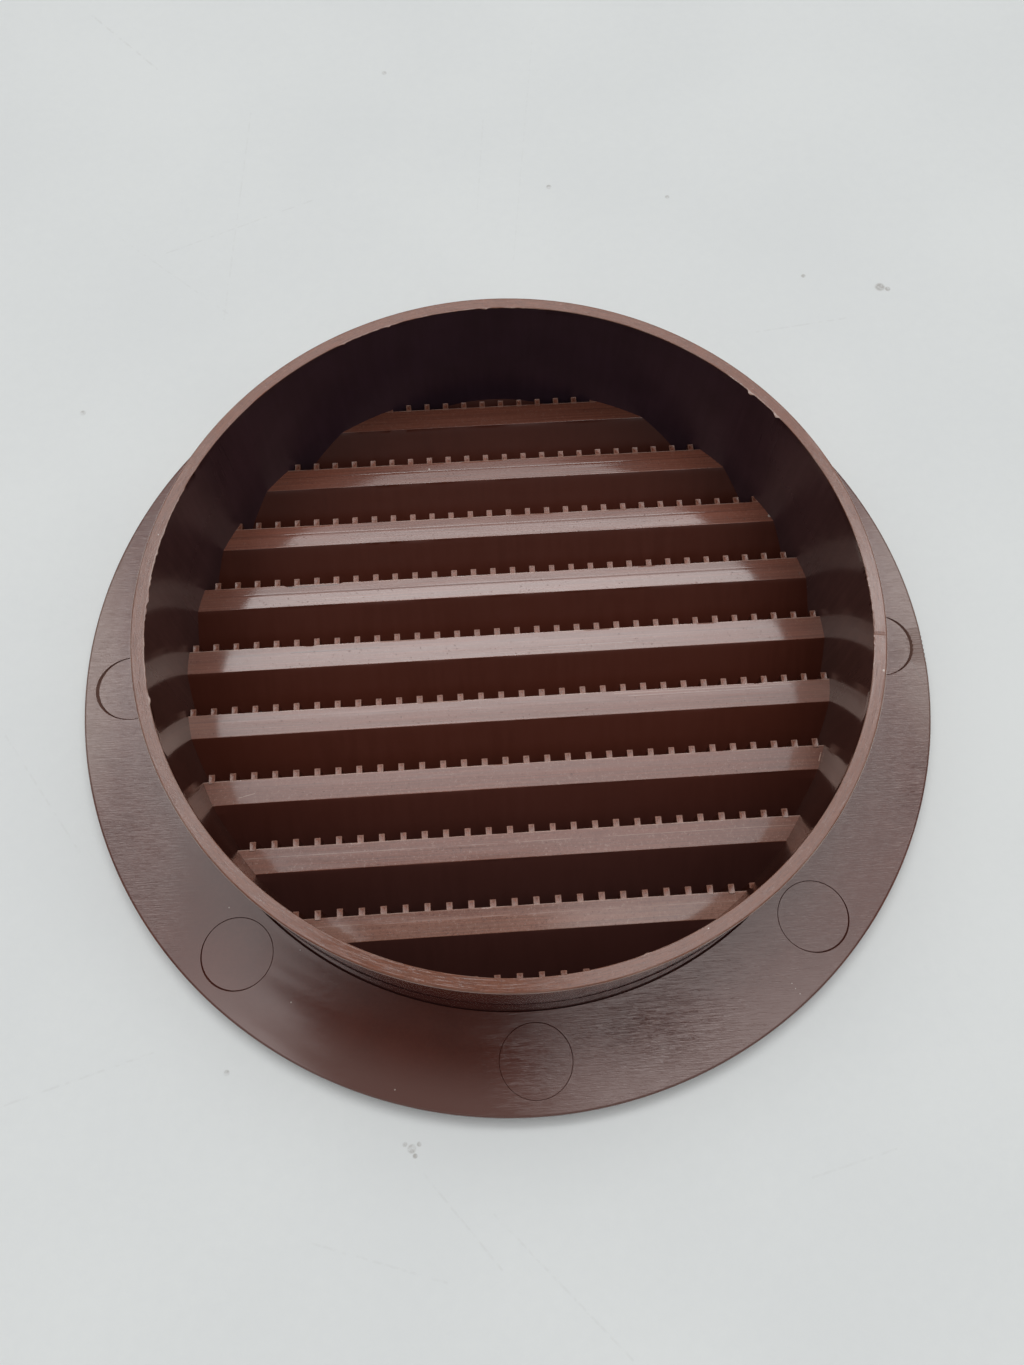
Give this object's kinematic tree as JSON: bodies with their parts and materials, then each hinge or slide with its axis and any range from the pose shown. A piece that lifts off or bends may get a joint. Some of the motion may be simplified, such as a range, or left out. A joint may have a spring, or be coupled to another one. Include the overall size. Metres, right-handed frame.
{
  "type": "round vent grille",
  "caption": "Round louvred vent grille: flat flange, push-in collar for a duct, and sloping slats with a fine insect comb behind them.",
  "frame": {"origin": "centre of the front face, which is also the face that it rests on", "axes": "+Z along the collar's axis, out of the back and into the duct; X along the slats; the slats' channels fall towards -Y at the front, so -Y is down when it is on a wall"},
  "size_m": [0.126, 0.126, 0.026],
  "materials": {
    "brown_plastic": "moulded, semi-gloss, with fine tool marks"
  },
  "bodies": {
    "root": {"vent_grille": "brown_plastic"}
  },
  "joints": []
}
